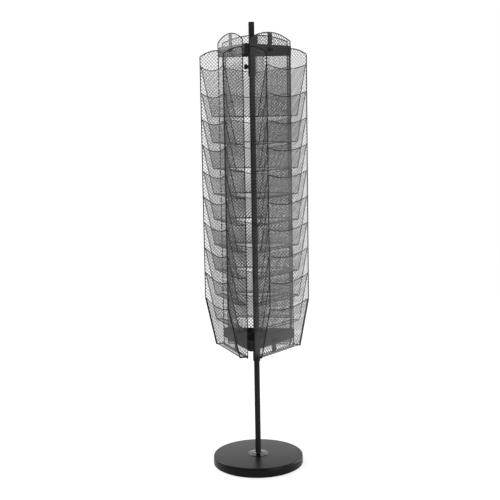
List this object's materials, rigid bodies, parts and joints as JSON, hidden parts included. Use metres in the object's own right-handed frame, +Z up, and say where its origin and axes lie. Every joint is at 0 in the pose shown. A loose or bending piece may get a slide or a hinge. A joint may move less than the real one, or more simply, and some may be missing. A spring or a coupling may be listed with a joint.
{
  "type": "rotating brochure display rack",
  "caption": "Floor-standing black rotating brochure rack: three tall mesh racks of nested slanted pockets on a pole that turns over a round base.",
  "frame": {"origin": "on the floor, under the middle of the pole", "axes": "+Z up along the pole; +Y out of the rear rack, away from the side that the picture shows; +X to the right seen from that side"},
  "size_m": [0.4126, 0.3705, 1.726],
  "materials": {
    "black_coat": "satin black powder coat",
    "black_mesh": "satin black powder coat on flattened expanded mesh",
    "base_coat": "fine textured black coat on cast iron",
    "black_nickel": "black nickel plate",
    "plated_steel": "zinc plate",
    "black_plastic": "moulded, fine grain",
    "nylon": "natural nylon",
    "felt": "black felt"
  },
  "bodies": {
    "stand": {"base_pad": "felt", "base_casting": "base_coat", "base_washer": "plated_steel", "base_bolt": "plated_steel", "foot_plug": "plated_steel", "foot_flange": "black_nickel", "lower_pole": "black_coat", "spindle": "plated_steel"},
    "carousel": {"bush": "nylon", "upper_pole": "black_coat", "pole_cap": "black_plastic", "upper_bracket": "black_coat", "lower_bracket": "black_coat", "rear_rack_rim": "black_coat", "rear_rack_back_panel": "black_mesh", "rear_rack_side_wall_a": "black_mesh", "rear_rack_side_wall_b": "black_mesh", "rear_rack_pocket_01": "black_mesh", "rear_rack_pocket_02": "black_mesh", "rear_rack_pocket_03": "black_mesh", "rear_rack_pocket_04": "black_mesh", "rear_rack_pocket_05": "black_mesh", "rear_rack_pocket_06": "black_mesh", "rear_rack_pocket_07": "black_mesh", "rear_rack_pocket_08": "black_mesh", "rear_rack_pocket_09": "black_mesh", "rear_rack_pocket_10": "black_mesh", "left_rack_rim": "black_coat", "left_rack_back_panel": "black_mesh", "left_rack_side_wall_a": "black_mesh", "left_rack_side_wall_b": "black_mesh", "left_rack_pocket_01": "black_mesh", "left_rack_pocket_02": "black_mesh", "left_rack_pocket_03": "black_mesh", "left_rack_pocket_04": "black_mesh", "left_rack_pocket_05": "black_mesh", "left_rack_pocket_06": "black_mesh", "left_rack_pocket_07": "black_mesh", "left_rack_pocket_08": "black_mesh", "left_rack_pocket_09": "black_mesh", "left_rack_pocket_10": "black_mesh", "right_rack_rim": "black_coat", "right_rack_back_panel": "black_mesh", "right_rack_side_wall_a": "black_mesh", "right_rack_side_wall_b": "black_mesh", "right_rack_pocket_01": "black_mesh", "right_rack_pocket_02": "black_mesh", "right_rack_pocket_03": "black_mesh", "right_rack_pocket_04": "black_mesh", "right_rack_pocket_05": "black_mesh", "right_rack_pocket_06": "black_mesh", "right_rack_pocket_07": "black_mesh", "right_rack_pocket_08": "black_mesh", "right_rack_pocket_09": "black_mesh", "right_rack_pocket_10": "black_mesh"},
    "upper_clamp": {"upper_knob": "black_plastic"},
    "lower_clamp": {"lower_knob": "plated_steel"}
  },
  "joints": [
    {"name": "carousel_turn", "type": "hinge", "parent": "stand", "child": "carousel", "pos_m": [0, 0, 0.448], "axis": [0, 0, 1], "continuous": true},
    {"name": "upper_knob_turn", "type": "hinge", "parent": "carousel", "child": "upper_clamp", "pos_m": [0, 0, 1.5598], "axis": [-1, 0, 0], "range_deg": [0, 360]},
    {"name": "lower_knob_turn", "type": "hinge", "parent": "carousel", "child": "lower_clamp", "pos_m": [0, 0, 0.505], "axis": [-0.866, 0.5, 0], "range_deg": [0, 360]}
  ]
}
